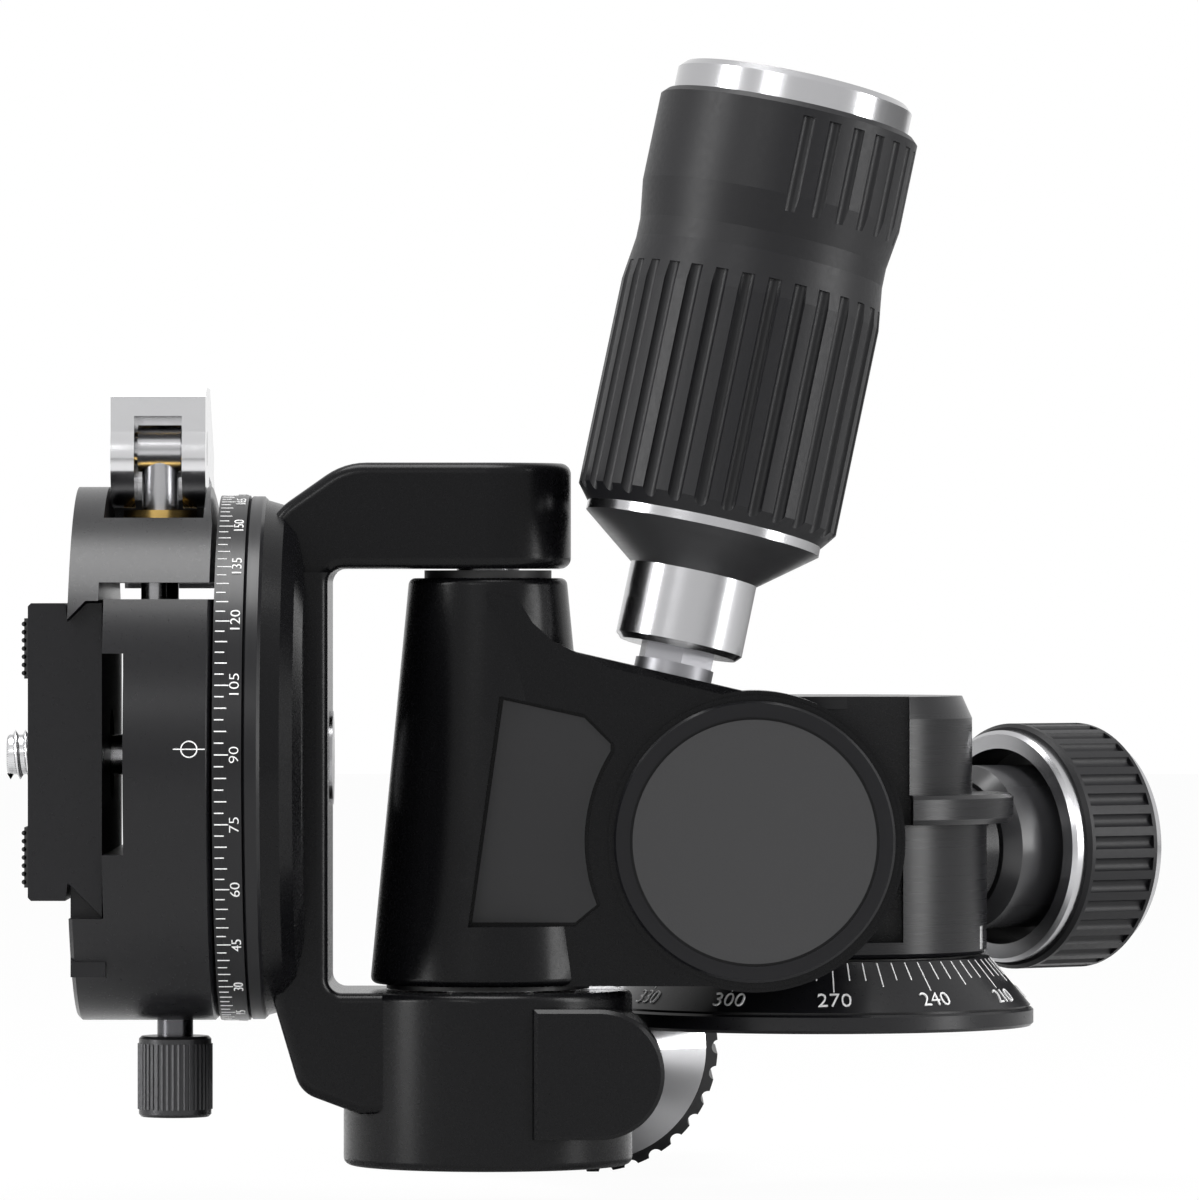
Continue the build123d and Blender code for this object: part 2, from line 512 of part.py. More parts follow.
def build_clamp():
    """Round clamp body with its fixed jaw, drawbar, guide pins and lock rod."""
    far = 50
    body = rod("X", RING_R, CLAMP_LEFT_X, CLAMP_RIGHT_X, CLAMP)
    body = chamfer(body.edges().filter_by(GeomType.CIRCLE), 0.5)
    body -= block((-120, -100, CLAMP_TOP_Z), (0, far, 90))
    seat = FACE_GAP
    channel = [
        (-120, PLATE_LIP_Z - seat), (CLAMP_FACE_X, PLATE_LIP_Z - seat),
        (CLAMP_FACE_X, 90), (-120, 90)]
    body -= slab_xz(channel, -100, far)
    corner_z = PLATE_LIP_Z - 1.5 * seat - (CLAMP_FACE_X - PLATE_BACK_X)
    lip = [
        (CLAMP_FACE_X, 8.0), (CLAMP_FACE_X, corner_z),
        (CLAMP_LEFT_X, corner_z + CLAMP_FACE_X - CLAMP_LEFT_X), (CLAMP_LEFT_X, 8.0)]
    body += slab_xz(lip, SIDE_Y - 22, SIDE_Y + 22)
    body -= block((CLAMP_FACE_X - 1, -100, CHANNEL_LOW_Z),
                  (CLAMP_FACE_X + CHANNEL_DEPTH, CHANNEL_BACK_Y, CHANNEL_TOP_Z))
    body -= rod("X", AXLE_R + TURN_GAP, CLAMP_FACE_X, CLAMP_RIGHT_X + 1, CLAMP)
    body -= rod("X", RETAINER_R + FACE_GAP, CLAMP_FACE_X, AXLE_END_X + FACE_GAP, CLAMP)
    thumb = (THUMB_X, SIDE_Y, 0)
    body -= rod("Z", THUMB_STUD_R + TURN_GAP, 0, CLAMP_Z, thumb)
    drawbar = (DRAWBAR_X, SIDE_Y, 0)
    bar_low = CLAMP_Z + AXLE_R + 3
    body -= rod("Z", DRAWBAR_R, bar_low, 70, drawbar)
    guides = []
    for side in (-GUIDE_Y, GUIDE_Y):
        at = (DRAWBAR_X, SIDE_Y + side, 0)
        body -= rod("Z", GUIDE_R, CLAMP_TOP_Z - 6, 70, at)
        guides.append(rod("Z", GUIDE_R, CLAMP_TOP_Z - 6, JAW_LOW_Z + 3.5, at))
    parts["clamp_body"] = body
    parts["guide_pins"] = Compound(children=guides)
    bar = rod("Z", DRAWBAR_R, bar_low, PIVOT_Z, drawbar)
    bar += rod("X", PIVOT_R + 0.9, LEVER_LEFT_X + CHEEK_W + 0.3, LEVER_RIGHT_X - CHEEK_W - 0.3, (0, SIDE_Y, PIVOT_Z))
    bar -= rod("X", PIVOT_R, -100, -70, (0, SIDE_Y, PIVOT_Z))
    parts["drawbar"] = bar
    parts["lever_pivot_pin"] = rod("X", PIVOT_R, LEVER_LEFT_X, LEVER_RIGHT_X, (0, SIDE_Y, PIVOT_Z))
    rod_low = THUMB_STUD_TOP_Z + FACE_GAP
    rod_top = CLAMP_Z - AXLE_R - FACE_GAP
    parts["clamp_lock_rod"] = rod("Z", THUMB_STUD_R, rod_low, rod_top, thumb)


def build_jaw():
    """Sliding upper jaw, with the notch for the lever and its brass saddle."""
    drop = FACE_GAP + 0.1
    section = [
        (CLAMP_LEFT_X, PLATE_TOP_Z - 2.0), (PLATE_BACK_X - 1.9, PLATE_TOP_Z + drop), (PLATE_BACK_X - 0.3, PLATE_TOP_Z + drop),
        (PLATE_BACK_X - 0.3, JAW_LOW_Z), (CLAMP_RIGHT_X - 0.3, JAW_LOW_Z), (CLAMP_RIGHT_X - 0.3, 65),
        (CLAMP_RIGHT_X - 1.0, JAW_TOP_Z), (CLAMP_LEFT_X, JAW_TOP_Z)]
    jaw = slab_xz(section, SIDE_Y - 40, SIDE_Y + 40)
    jaw &= rod("X", JAW_TOP_REACH, -100, -60, CLAMP)
    jaw -= block((NOTCH_LEFT_X, -100, JAW_NOTCH_Z), (NOTCH_RIGHT_X, SIDE_Y + NOTCH_BACK, 90))
    drawbar = (DRAWBAR_X, SIDE_Y, 0)
    jaw -= rod("Z", DRAWBAR_R + TURN_GAP, 50, 80, drawbar)
    for side in (-GUIDE_Y, GUIDE_Y):
        jaw -= rod("Z", GUIDE_R + TURN_GAP, 50, JAW_LOW_Z + 4.0, (DRAWBAR_X, SIDE_Y + side, 0))
    parts["sliding_jaw"] = jaw
    saddle = rod("Z", SADDLE_R, JAW_NOTCH_Z, JAW_NOTCH_Z + SADDLE_T, drawbar)
    parts["cam_saddle"] = saddle - rod("Z", DRAWBAR_R + TURN_GAP, 50, 80, drawbar)


def build_lever():
    """Cam lever, shut: two cheeks on the pivot pin and a handle that follows the clamp's rim."""
    cam = rod("X", CAM_R, LEVER_LEFT_X, LEVER_RIGHT_X, (0, SIDE_Y, PIVOT_Z - CAM_OFFSET))
    inner = JAW_TOP_REACH + 3.2
    outer = inner + LEVER_T
    shell = rod("X", outer, LEVER_LEFT_X, LEVER_RIGHT_X, CLAMP) - rod("X", inner, -100, -60, CLAMP)
    reach = 60
    sector = [(SIDE_Y, CLAMP_Z), (SIDE_Y, 95), (SIDE_Y + reach, 95), (SIDE_Y + reach, CLAMP_Z + reach * LEVER_END)]
    shell &= slab_yz(sector, -100, -60)
    crown = slab_yz([
        (SIDE_Y - 5.5, PIVOT_Z), (SIDE_Y - 5.5, 81.5), (SIDE_Y - 4.3, 82.7), (SIDE_Y + 9, 82.7),
        (SIDE_Y + 22, 74.2), (SIDE_Y + 20, 70.0), (SIDE_Y + 5, 71.5)], LEVER_LEFT_X, LEVER_RIGHT_X)
    lever = cam + crown + shell
    slot_left = LEVER_LEFT_X + CHEEK_W
    slot_right = LEVER_RIGHT_X - CHEEK_W
    lever -= block((slot_left, SIDE_Y - 20, 50), (slot_right, SIDE_Y + 7, 79))
    lever -= rod("X", PIVOT_R + TURN_GAP, -100, -60, (0, SIDE_Y, PIVOT_Z))
    parts["cam_lever"] = lever


def build_thumbscrew():
    """Knurled thumbscrew that stops the clamp from turning."""
    at = (THUMB_X, SIDE_Y, 0)
    knob = rod("Z", THUMB_R, THUMB_LOW_Z, THUMB_TOP_Z, at)
    parts["thumbscrew_knob"] = chamfer(knob.edges().filter_by(GeomType.CIRCLE), 0.35)
    parts["thumbscrew_stud"] = rod("Z", THUMB_STUD_R, THUMB_TOP_Z, THUMB_STUD_TOP_Z, at)


def build_plate():
    """Dovetail quick-release plate with its rubber strips and camera screw."""
    section = [
        (PLATE_FACE_X + 0.4, PLATE_LOW_Z), (FLANK_X - 0.3, PLATE_LOW_Z),
        (FLANK_X, PLATE_LIP_Z + PLATE_BACK_X - FLANK_X), (PLATE_BACK_X, PLATE_LIP_Z),
        (PLATE_BACK_X, PLATE_TOP_Z), (PLATE_BACK_X - 1.9, PLATE_TOP_Z), (FLANK_X, PLATE_TOP_Z - 2.4),
        (FLANK_X - 0.3, PLATE_TOP_Z), (PLATE_FACE_X + 0.4, PLATE_TOP_Z), (PLATE_FACE_X, PLATE_TOP_Z - 0.4),
        (PLATE_FACE_X, PLATE_LOW_Z + 0.4)]
    plate = slab_xz(section, SIDE_Y - PLATE_LENGTH / 2, SIDE_Y + PLATE_LENGTH / 2)
    at = (0, SIDE_Y, SCREW_Z)
    head_x = PLATE_BACK_X - SCREW_HEAD_T - 1.0
    plate -= rod("X", SCREW_R + TURN_GAP, -120, -80, at)
    plate -= rod("X", SCREW_HEAD_R + 0.3, head_x - FACE_GAP, -80, at)
    strips = []
    for low in (PLATE_LOW_Z + 1.6, PLATE_TOP_Z - 1.9 - STRIP_W):
        groove = block((PLATE_FACE_X - 1, SIDE_Y - STRIP_LENGTH / 2, low),
                       (PLATE_FACE_X + 0.8, SIDE_Y + STRIP_LENGTH / 2, low + STRIP_W))
        plate -= groove
        strips.append(block((PLATE_FACE_X - STRIP_T, SIDE_Y - STRIP_LENGTH / 2, low),
                            (PLATE_FACE_X + 0.8, SIDE_Y + STRIP_LENGTH / 2, low + STRIP_W)))
    stops = []
    for side in (-1, 1):
        spot = (0, SIDE_Y + side * (PLATE_LENGTH / 2 - 3.5), SCREW_Z)
        plate -= rod("X", 1.5, PLATE_BACK_X - 3, -80, spot)
        stops.append(rod("X", 1.5, PLATE_BACK_X - 3, PLATE_BACK_X, spot))
    parts["plate"] = plate
    parts["plate_strips"] = Compound(children=strips)
    parts["plate_stop_screws"] = Compound(children=stops)
    thread_end = PLATE_FACE_X - SCREW_RELIEF
    screw = rod("X", SCREW_R, SCREW_TIP_X, thread_end, at)
    screw = chamfer(screw.edges().sort_by(Axis.X)[0], 0.5)
    screw += rod("X", SCREW_KNURL_R, thread_end, head_x, at)
    screw += rod("X", SCREW_HEAD_R, head_x, head_x + SCREW_HEAD_T, at)
    screw += rod("X", SCREW_KNURL_R, head_x, SCREW_KNURL_END_X, at)
    parts["camera_screw"] = screw


def groove_cutters(count, radius_at, groove_r, start, length, skip=0):
    """Round-ended grooves set round a grip, as one tool."""
    tools = []
    for index in range(skip, count):
        turn = Rot(0, 0, 360 * index / count)
        tools.append(turn * Pos(radius_at, 0, start) * Cylinder(
            groove_r, length, align=(Align.CENTER, Align.CENTER, Align.MIN)))
    return tools


def build_handle(name, place, stud_length, spin):
    """Long lock handle: turned core, rubber grip, end cap and threaded stud."""
    cone_z = COLLAR_L
    band_z = cone_z + CONE_L
    grip_z = band_z + BAND_L
    grip_top = grip_z + GRIP_L
    cap_top = grip_top + HANDLE_CAP_L
    waist = grip_z + WAIST_AT
    core = turned([
        (0, 0), (COLLAR_R - 0.7, 0), (COLLAR_R, 0.7), (COLLAR_R, cone_z), (BAND_R, band_z), (BAND_R, grip_z),
        (GRIP_BORE_R, grip_z), (GRIP_BORE_R, grip_top), (0, grip_top)])
    core -= rod("Z", STUD_R, -1, COLLAR_L + 4)
    grip = turned([
        (GRIP_BORE_R, grip_z), (BAND_R + 0.1, grip_z), (GRIP_R, grip_z + GRIP_CHAMFER_L), (GRIP_R, waist - 7),
        (GRIP_WAIST_R, waist - 1.5), (GRIP_WAIST_R, waist + 1), (GRIP_R, waist + 6), (GRIP_R, grip_top - 0.7),
        (GRIP_R - 0.7, grip_top), (GRIP_BORE_R, grip_top)])
    grip -= groove_cutters(GROOVES, GRIP_R + 0.15, GROOVE_R, grip_z - 1, LONG_GROOVE_L)
    grip -= groove_cutters(GROOVES, GRIP_R + 0.45, GROOVE_R, grip_z + PILL_START, PILL_L, PILL_BLANKS)
    cap = turned([
        (0, grip_top), (HANDLE_CAP_R, grip_top), (HANDLE_CAP_R, cap_top - 0.8), (HANDLE_CAP_R - 0.8, cap_top),
        (0, cap_top)])
    stud = rod("Z", STUD_R, -stud_length, COLLAR_L + 4)
    stud += rod("Z", NECK_R, -NECK_L + 0.3, -NECK_L + 2.1)
    stud += Pos(0, 0, -NECK_L + 2.1) * extrude(RegularPolygon(NECK_R, 6), amount=NECK_L - 2.1)
    turn = place * Rot(0, 0, spin)
    parts[name + "_core"] = turn * core
    parts[name + "_grip"] = turn * grip
    parts[name + "_cap"] = turn * cap
    parts[name + "_stud"] = turn * stud


def build_pan_knob():
    """Short pan lock knob: cupped core with a hub, rubber tyre, end ring and stud."""
    grip_z = KNOB_RING_L
    grip_top = grip_z + KNOB_GRIP_L
    top = grip_top + KNOB_CAP_L
    core = turned([
        (0, -KNOB_HUB_L), (KNOB_HUB_R - 1.8, -KNOB_HUB_L), (KNOB_HUB_R, -KNOB_HUB_L + 1.8),
        (KNOB_HUB_R, KNOB_RECESS_L), (KNOB_RECESS_R, KNOB_RECESS_L), (KNOB_RECESS_R, 0),
        (KNOB_RING_R - 0.5, 0), (KNOB_RING_R, 0.5), (KNOB_RING_R, grip_z), (KNOB_CORE_R, grip_z),
        (KNOB_CORE_R, grip_top), (0, grip_top)])
    core -= rod("Z", STUD_R, -KNOB_HUB_L - 1, KNOB_RECESS_L)
    grip = turned([
        (KNOB_CORE_R, grip_z), (KNOB_GRIP_R - 0.5, grip_z), (KNOB_GRIP_R, grip_z + 0.5),
        (KNOB_GRIP_R, grip_top - 0.5), (KNOB_GRIP_R - 0.5, grip_top), (KNOB_CORE_R, grip_top)])
    start = grip_z + (KNOB_GRIP_L - KNOB_PILL_L) / 2
    grip -= groove_cutters(KNOB_GROOVES, KNOB_GRIP_R + 0.35, GROOVE_R, start, KNOB_PILL_L)
    cap = turned([(0, grip_top), (KNOB_CAP_R, grip_top), (KNOB_CAP_R - 0.4, top), (0, top)])
    reach = PAN_KNOB_AT - SPINDLE_R - SHOE_L - 0.3 - FACE_GAP
    place = PAN_LOCK * Pos(0, 0, PAN_KNOB_AT)
    parts["pan_knob_core"] = place * core
    parts["pan_knob_grip"] = place * grip
    parts["pan_knob_cap"] = place * cap
    parts["pan_knob_stud"] = place * rod("Z", STUD_R, -reach, KNOB_RECESS_L)


build_base()
build_pan_body()
build_arm()
build_side_pin()
build_yoke()
build_mount()
build_clamp()
build_jaw()
build_lever()
build_thumbscrew()
build_plate()
build_handle("tilt_lock", tilt_lock_place(), TILT_STUD_L, 158)
build_handle("side_lock", side_lock_place(), SIDE_STUD_L, 0)
build_pan_knob()

os.makedirs("parts", exist_ok=True)
for name, shape in parts.items():
    export_step(shape, os.path.join("parts", name + ".step"))
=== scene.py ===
import json
import math

import bpy
from mathutils import Matrix, Vector


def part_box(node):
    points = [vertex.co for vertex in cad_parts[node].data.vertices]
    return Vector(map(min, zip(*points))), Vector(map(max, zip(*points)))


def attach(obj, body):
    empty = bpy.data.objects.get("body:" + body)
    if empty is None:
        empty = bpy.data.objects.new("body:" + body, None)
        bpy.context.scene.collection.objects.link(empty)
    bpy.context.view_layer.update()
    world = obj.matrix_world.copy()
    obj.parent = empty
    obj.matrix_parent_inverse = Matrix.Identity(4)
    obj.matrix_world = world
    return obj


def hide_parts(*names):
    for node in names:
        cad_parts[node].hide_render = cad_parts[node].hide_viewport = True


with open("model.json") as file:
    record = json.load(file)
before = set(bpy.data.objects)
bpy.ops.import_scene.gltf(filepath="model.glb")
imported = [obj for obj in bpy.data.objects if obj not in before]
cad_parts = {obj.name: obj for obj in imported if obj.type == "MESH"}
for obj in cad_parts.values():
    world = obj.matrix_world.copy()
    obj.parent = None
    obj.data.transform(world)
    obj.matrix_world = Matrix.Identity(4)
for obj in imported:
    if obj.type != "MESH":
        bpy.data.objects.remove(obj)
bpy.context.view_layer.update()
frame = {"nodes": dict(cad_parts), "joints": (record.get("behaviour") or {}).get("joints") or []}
solids = frame["nodes"]

# Base disc, turned from aluminium bar and anodised black. A fine tool grain shows in its satin skin.
# The steel insert and the spindle are pressed and screwed into it from below.


def new_group(name, vectors=(), values=()):
    """An empty pattern: its inputs by name, a mask for the roughness and a height for the bump."""
    group = bpy.data.node_groups.new(name, "ShaderNodeTree")
    for socket in vectors:
        group.interface.new_socket(name=socket, in_out="INPUT", socket_type="NodeSocketVector")
    for socket in values:
        group.interface.new_socket(name=socket, in_out="INPUT", socket_type="NodeSocketFloat")
    for socket in ("Mask", "Height"):
        group.interface.new_socket(name=socket, in_out="OUTPUT", socket_type="NodeSocketFloat")
    return group, group.nodes.new("NodeGroupInput"), group.nodes.new("NodeGroupOutput")


def pass_on(group, source, noise, sink):
    """Gives a noise out as the height, and spread between Low and High as the mask."""
    spread = group.nodes.new("ShaderNodeMapRange")
    spread.inputs["From Min"].default_value = 0.3
    spread.inputs["From Max"].default_value = 0.7
    group.links.new(noise.outputs["Fac"], spread.inputs["Value"])
    group.links.new(source.outputs["Low"], spread.inputs["To Min"])
    group.links.new(source.outputs["High"], spread.inputs["To Max"])
    group.links.new(spread.outputs["Result"], sink.inputs["Mask"])
    group.links.new(noise.outputs["Fac"], sink.inputs["Height"])


def grain_group():
    """Fine grain, the same in every direction."""
    group, source, sink = new_group("fine grain", values=("Scale", "Low", "High"))
    place = group.nodes.new("ShaderNodeTexCoord")
    noise = group.nodes.new("ShaderNodeTexNoise")
    noise.inputs["Detail"].default_value = 4.0
    group.links.new(place.outputs["Object"], noise.inputs["Vector"])
    group.links.new(source.outputs["Scale"], noise.inputs["Scale"])
    pass_on(group, source, noise, sink)
    return group


fine_grain = grain_group()
grain_depth = 0.0002


def patterned(name, colour, metallic, shine, group, values, bump, depth):
    """A skin whose roughness and bump come from a pattern."""
    material = bpy.data.materials.new(name)
    material.use_nodes = True
    nodes, links = material.node_tree.nodes, material.node_tree.links
    skin = nodes["Principled BSDF"]
    skin.inputs["Base Color"].default_value = (*colour, 1.0)
    skin.inputs["Metallic"].default_value = metallic
    skin.inputs["Specular IOR Level"].default_value = shine
    pattern = nodes.new("ShaderNodeGroup")
    pattern.node_tree = group
    for socket, value in values.items():
        pattern.inputs[socket].default_value = value
    relief = nodes.new("ShaderNodeBump")
    relief.inputs["Strength"].default_value = bump
    relief.inputs["Distance"].default_value = depth
    links.new(pattern.outputs["Mask"], skin.inputs["Roughness"])
    links.new(pattern.outputs["Height"], relief.inputs["Height"])
    links.new(relief.outputs["Normal"], skin.inputs["Normal"])
    return material


def coated(name, colour, rough, fineness, bump, metallic=0.0, shine=0.5):
    """A skin with fine grain: painted or anodised metal, rubber or plastic."""
    values = {"Scale": fineness, "Low": rough[0], "High": rough[1]}
    return patterned(name, colour, metallic, shine, fine_grain, values, bump, grain_depth)


def finish(material, *names):
    """Gives CAD nodes their material."""
    for name in names:
        solids[name].data.materials.clear()
        solids[name].data.materials.append(material)


black_anodised = coated("black anodised aluminium", (0.005, 0.005, 0.006),
                        rough=(0.27, 0.32), fineness=2500.0, bump=0.02, shine=0.27)
finish(black_anodised, "base_plate")
slide_plastic = coated("black bearing plastic", (0.015, 0.015, 0.015),
                       rough=(0.45, 0.55), fineness=1500.0, bump=0.1)
finish(slide_plastic, "glide_ring")

# Turned steel and aluminium: insert, spindle, washers and nuts keep the fine rings of the lathe tool.
# Each is turned about its own axis, so the rings are centred there.


def turned_group():
    """Fine rings round an axis, given by a point on it and its turn from Z."""
    group, source, sink = new_group("lathe rings", vectors=("Point", "Turn"), values=("Rings", "Low", "High"))
    nodes, links = group.nodes, group.links
    place = nodes.new("ShaderNodeTexCoord")
    local = nodes.new("ShaderNodeMapping")
    local.vector_type = "TEXTURE"
    split = nodes.new("ShaderNodeSeparateXYZ")
    flat = nodes.new("ShaderNodeCombineXYZ")
    radius = nodes.new("ShaderNodeVectorMath")
    radius.operation = "LENGTH"
    lines = nodes.new("ShaderNodeCombineXYZ")
    noise = nodes.new("ShaderNodeTexNoise")
    noise.inputs["Detail"].default_value = 3.0
    links.new(place.outputs["Object"], local.inputs["Vector"])
    links.new(source.outputs["Point"], local.inputs["Location"])
    links.new(source.outputs["Turn"], local.inputs["Rotation"])
    links.new(local.outputs["Vector"], split.inputs["Vector"])
    links.new(split.outputs["X"], flat.inputs["X"])
    links.new(split.outputs["Y"], flat.inputs["Y"])
    links.new(flat.outputs["Vector"], radius.inputs[0])
    links.new(radius.outputs["Value"], lines.inputs["X"])
    links.new(split.outputs["Z"], lines.inputs["Y"])
    links.new(lines.outputs["Vector"], noise.inputs["Vector"])
    links.new(source.outputs["Rings"], noise.inputs["Scale"])
    pass_on(group, source, noise, sink)
    return group


lathe_rings = turned_group()
lathe_depth = 0.0001


def turned(name, colour, point, turn, rough=(0.22, 0.26), rings=2500.0, bump=0.01, metallic=1.0, shine=0.5):
    """Metal turned about one axis."""
    values = {"Point": point, "Turn": turn, "Rings": rings, "Low": rough[0], "High": rough[1]}
    return patterned(name, colour, metallic, shine, lathe_rings, values, bump, lathe_depth)


steel = (0.42, 0.42, 0.43)
pan_steel = turned("turned steel on the pan axis", steel, (0, 0, 0), (0, 0, 0))
finish(pan_steel, "tripod_insert", "spindle", "base_screws", "spindle_washer", "spindle_nut")

# Scale of the base: white marks every 5 degrees, printed on the cone, longer at 15 and 30.
# The numbers stand under the long marks; 270 lies 3.4 degrees right of the front.
# The two ends of the cone are given as radius and height.
cone_low = Vector((0.0278, 0.0027))
cone_high = Vector((0.0224, 0.0090))
base_turn = 3.4
mark_width = 0.00017
mark_top = 0.00885
mark_feet = {"short": 0.00667, "middle": 0.00590, "long": 0.00526}
figure_level = 0.00415
figure_height = 0.0022
figure_thick = 0.00030


def ink(name, colour):
    """Printing ink, plain and dull."""
    material = bpy.data.materials.new(name)
    material.use_nodes = True
    skin = material.node_tree.nodes["Principled BSDF"]
    skin.inputs["Base Color"].default_value = (*colour, 1.0)
    skin.inputs["Roughness"].default_value = 0.6
    return material


def break_edges(width):
    """Takes the sharp edges off the selected piece."""
    bpy.ops.object.mode_set(mode="EDIT")
    bpy.ops.mesh.select_all(action="SELECT")
    bpy.ops.mesh.bevel(offset=width, segments=1)
    bpy.ops.object.mode_set(mode="OBJECT")


def stroke(width, length, thick):
    """A flat mark with its edges broken, lying along Y, its face up."""
    bpy.ops.object.select_all(action="DESELECT")
    bpy.ops.mesh.primitive_cube_add(size=1.0)
    mark = bpy.context.object
    mark.data.transform(Matrix.Diagonal((width, length, thick, 1.0)))
    break_edges(thick * 0.3)
    return mark


def copy_at(piece, place):
    """A copy with its own mesh, its place put into the mesh."""
    twin = piece.copy()
    twin.data = piece.data.copy()
    bpy.context.collection.objects.link(twin)
    twin.data.transform(place)
    return twin


def number(text, height, thick):
    """A printed number as a mesh, centred, lying in XY. A figure fills 0.72 of the letter size."""
    bpy.ops.object.select_all(action="DESELECT")
    bpy.ops.object.text_add()
    word = bpy.context.object
    word.data.body = text
    word.data.align_x = "CENTER"
    word.data.align_y = "CENTER"
    word.data.size = height / 0.72
    word.data.extrude = thick / 2
    word.data.offset = -0.018 * height
    word.data.resolution_u = 3
    bpy.ops.object.convert(target="MESH")
    return bpy.context.object


def joined(bits, name, material, body):
    """Makes one piece of many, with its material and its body."""
    bpy.ops.object.select_all(action="DESELECT")
    for bit in bits:
        bit.select_set(True)
    bpy.context.view_layer.objects.active = bits[0]
    bpy.ops.object.join()
    piece = bpy.context.object
    piece.name = name
    piece.data.materials.clear()
    piece.data.materials.append(material)
    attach(piece, body)
    return piece


def cone_place(angle, height):
    """Place on the cone: X along the rim to the right, Y up the slope, Z out of it."""
    part = (height - cone_low.y) / (cone_high.y - cone_low.y)
    radius = cone_low.x + part * (cone_high.x - cone_low.x)
    out = Vector((math.sin(angle), -math.cos(angle), 0))
    along = Vector((math.cos(angle), math.sin(angle), 0))
    rise = cone_high - cone_low
    up = (out * rise.x + Vector((0, 0, rise.y))).normalized()
    normal = along.cross(up)
    turn = Matrix((along, up, normal)).transposed().to_4x4()
    return Matrix.Translation(out * radius + Vector((0, 0, height))) @ turn


ink_white = ink("white scale ink", (0.8, 0.8, 0.8))
ink_thick = 0.00012
slope_factor = (cone_high - cone_low).length / (cone_high.y - cone_low.y)
cone_marks = {}
for kind, foot in mark_feet.items():
    cone_marks[kind] = stroke(mark_width, (mark_top - foot) * slope_factor, ink_thick)
base_print = []
for degrees in range(0, 360, 5):
    angle = math.radians(base_turn + 270 - degrees)
    kind = "long" if degrees % 30 == 0 else "middle" if degrees % 15 == 0 else "short"
    mark_level = (mark_top + mark_feet[kind]) / 2
    base_print.append(copy_at(cone_marks[kind], cone_place(angle, mark_level)))
    if kind == "long":
        figure = number(str(degrees), figure_height, figure_thick)
        figure.data.transform(cone_place(angle, figure_level))
        base_print.append(figure)
for mark in cone_marks.values():
    bpy.data.objects.remove(mark)
joined(base_print, "base_scale", ink_white, "base")

# Pan body, turned and milled from aluminium, anodised black. Its cover and brake shoe sit inside it.
# Two fine white lines at its foot show where it stands on the scale.
anodised = (0.006, 0.006, 0.007)
pan_black = turned("black anodised, turned on the pan axis", anodised, (0, 0, 0), (0, 0, 0),
                   rough=(0.26, 0.3), rings=3000.0, bump=0.006, metallic=0.0, shine=0.25)
finish(pan_black, "pan_body", "pan_cover")
joints = {joint["name"]: joint for joint in frame["joints"]}


def pivot(name):
    """A point on the axis of a joint, from the frame."""
    return Vector(joints[name]["pos_m"])


def direction(name):
    """The axis of a joint, from the frame."""
    return Vector(joints[name]["axis"])


brass = (0.62, 0.42, 0.14)
knob_axis = direction("pan_lock_turn")
knob_point = (0, 0, pivot("pan_lock_turn").z)
knob_turn = (0, math.pi / 2, math.atan2(knob_axis.y, knob_axis.x))
finish(turned("brass shoe", brass, knob_point, knob_turn), "pan_brake_shoe")
index_mark = stroke(width=0.00014, length=0.0030, thick=ink_thick)
index_angle = 72.7
index_spread = 0.9
index_level = 0.0116
foot_radius = 0.0221
index_lines = []
for shift in (-index_spread, index_spread):
    angle = math.radians(index_angle + shift)
    out = Vector((math.sin(angle), -math.cos(angle), 0))
    along = Vector((math.cos(angle), math.sin(angle), 0))
    up = Vector((0, 0, 1))
    turn = Matrix((along, up, along.cross(up))).transposed().to_4x4()
    spot = Matrix.Translation(out * foot_radius + up * index_level)
    index_lines.append(copy_at(index_mark, spot @ turn))
bpy.data.objects.remove(index_mark)
joined(index_lines, "pan_index", ink_white, "pan_housing")
tilt_point = (pivot("fore_aft_tilt").x, 0, pivot("fore_aft_tilt").z)
tilt_turn = (math.pi / 2, 0, 0)
tilt_steel = turned("turned steel on the tilt axis", steel, tilt_point, tilt_turn)
finish(tilt_steel, "trunnion_retainer", "retainer_screw")

# Tilt arm, cast in aluminium and coated in satin black, with a turned hub cap that closes the clamping hub.
# The cap's disc is dark grey with a fine grain, and the nameplate beside it is left bare.
cast_black = coated("satin black coat on the castings", (0.003, 0.003, 0.0035),
                    rough=(0.24, 0.29), fineness=2200.0, bump=0.015, shine=0.14)
finish(cast_black, "tilt_arm")
cap_grey = coated("dark grey grained disc", (0.024, 0.024, 0.025),
                  rough=(0.42, 0.5), fineness=3200.0, bump=0.12, shine=0.35)
finish(cap_grey, "hub_cap_disc")
cap_black = turned("turned black ring", anodised, tilt_point, tilt_turn,
                   rough=(0.2, 0.26), bump=0.015, metallic=0.0, shine=0.2)
finish(cap_black, "hub_cap")
bare_plate = coated("dark satin nameplate", (0.013, 0.013, 0.014),
                    rough=(0.3, 0.36), fineness=2600.0, bump=0.05, shine=0.3)
finish(bare_plate, "nameplate")
side_y = pivot("side_tilt").y
side_point = (pivot("side_tilt").x, side_y, 0)
finish(turned("turned steel on the side tilt axis", steel, side_point, (0, 0, 0)), "side_tilt_pin")
finish(slide_plastic, "upper_washer", "lower_washer")

# Yoke, cast like the arm, with the steel sleeve of its lock pressed in.
# A plastic plug closes the pinch barrel from below.
finish(cast_black, "yoke")
finish(slide_plastic, "yoke_bottom_cover")
sleeve_steel = coated("blackened steel sleeve", (0.03, 0.03, 0.032),
                      rough=(0.3, 0.4), fineness=2000.0, bump=0.08, metallic=0.6)
finish(sleeve_steel, "lock_sleeve")

